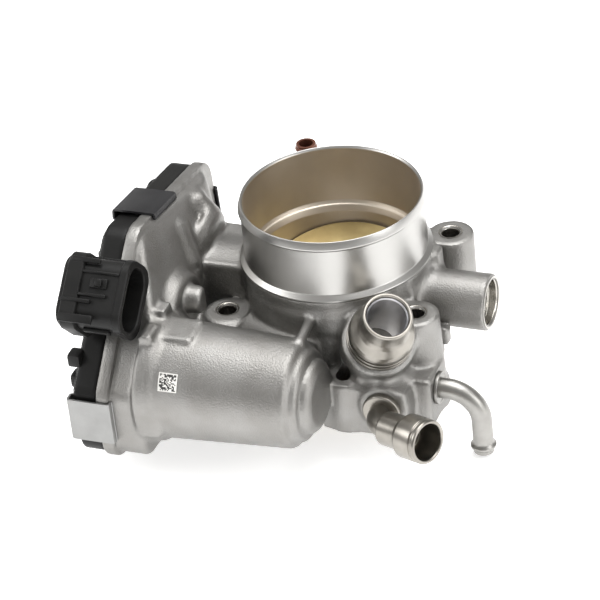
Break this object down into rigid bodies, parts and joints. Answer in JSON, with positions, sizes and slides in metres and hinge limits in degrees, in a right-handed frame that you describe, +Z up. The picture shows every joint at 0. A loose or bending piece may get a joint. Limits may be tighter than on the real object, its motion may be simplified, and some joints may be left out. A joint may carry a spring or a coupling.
{
  "type": "electronic throttle body",
  "caption": "Cast aluminium electronic throttle body: butterfly valve, reduction gears, DC motor, clipped cover with connector, vent nipple and coolant fittings.",
  "frame": {"origin": "centre of the throttle bore at the manifold mounting face", "axes": "+Z up the bore towards the air inlet, +X along the valve shaft from the gear case towards the shaft plug, the drive motor lies on the -Y side"},
  "size_m": [0.1469, 0.1267, 0.0856],
  "materials": {
    "cast_body": "bead-blasted casting with turned faces",
    "black_moulding": "fine satin moulding",
    "seal_rubber": "matte",
    "bright_clip": "satin spring steel",
    "dark_clip": "black coated spring steel",
    "contact_alloy": "tinned contact alloy",
    "board": "solder-masked laminate",
    "shaft_steel": "ground",
    "plate_brass": "rolled and deburred",
    "screw_steel": "zinc plated",
    "bearing_steel": "ground and polished",
    "gear_nylon": "glass filled moulding",
    "magnet": "sintered",
    "spring_steel": "drawn wire",
    "can_steel": "zinc plated deep drawing",
    "phenolic": "moulded",
    "bronze": "sintered bronze",
    "lamination": "stacked electrical steel",
    "copper": "enamelled copper",
    "nickel_plate": "satin nickel plate",
    "tube_steel": "plated bent tube",
    "brown_tube": "brown passivated",
    "plug_alloy": "pressed cup"
  },
  "bodies": {
    "housing": {"throttle_housing": "cast_body", "gear_cover": "black_moulding", "cover_seal": "seal_rubber", "clip_front": "bright_clip", "clip_bottom": "bright_clip", "clip_top": "dark_clip", "clip_back": "dark_clip", "clip_rear": "bright_clip", "connector_pins": "contact_alloy", "sensor_board": "board", "far_bearing": "bearing_steel", "gear_bearing": "bearing_steel", "shaft_seal": "seal_rubber", "shaft_plug": "bearing_steel", "return_spring": "spring_steel", "spring_sleeve": "gear_nylon", "stop_screw": "shaft_steel", "idler_pin": "shaft_steel", "motor_can": "can_steel", "motor_magnets": "magnet", "motor_end_cap": "phenolic", "motor_brushes": "magnet", "motor_bushes": "bronze", "motor_screws": "screw_steel", "wave_washer": "spring_steel", "vent_nipple": "nickel_plate", "coolant_elbow": "nickel_plate", "outlet_tube": "tube_steel", "rear_pipe": "brown_tube", "gallery_plug": "plug_alloy", "motor_leads": "contact_alloy"},
    "valve": {"throttle_shaft": "shaft_steel", "throttle_plate": "plate_brass", "plate_screws": "screw_steel", "sector_gear": "gear_nylon", "sensor_magnet": "magnet"},
    "idler": {"idler_gear": "gear_nylon"},
    "rotor": {"armature_core": "lamination", "armature_windings": "copper", "commutator": "copper", "motor_shaft": "shaft_steel", "motor_pinion": "plate_brass"}
  },
  "joints": [
    {"name": "valve_turn", "type": "hinge", "parent": "housing", "child": "valve", "pos_m": [0, 0, 0.031], "axis": [1, 0, 0], "range_deg": [-9, 69], "stiffness_Nm_per_rad": 0.04},
    {"name": "idler_turn", "type": "hinge", "parent": "housing", "child": "idler", "pos_m": [-0.065, -0.032, 0.03131], "axis": [1, 0, 0], "range_deg": [-300, 40]},
    {"name": "motor_turn", "type": "hinge", "parent": "housing", "child": "rotor", "pos_m": [-0.025, -0.055, 0.0203], "axis": [1, 0, 0], "range_deg": [-142.82, 1088.27]}
  ],
  "couplings": [
    {"joint": "idler_turn", "follows": "valve_turn", "ratio": -4.3333},
    {"joint": "motor_turn", "follows": "valve_turn", "ratio": 15.758}
  ]
}
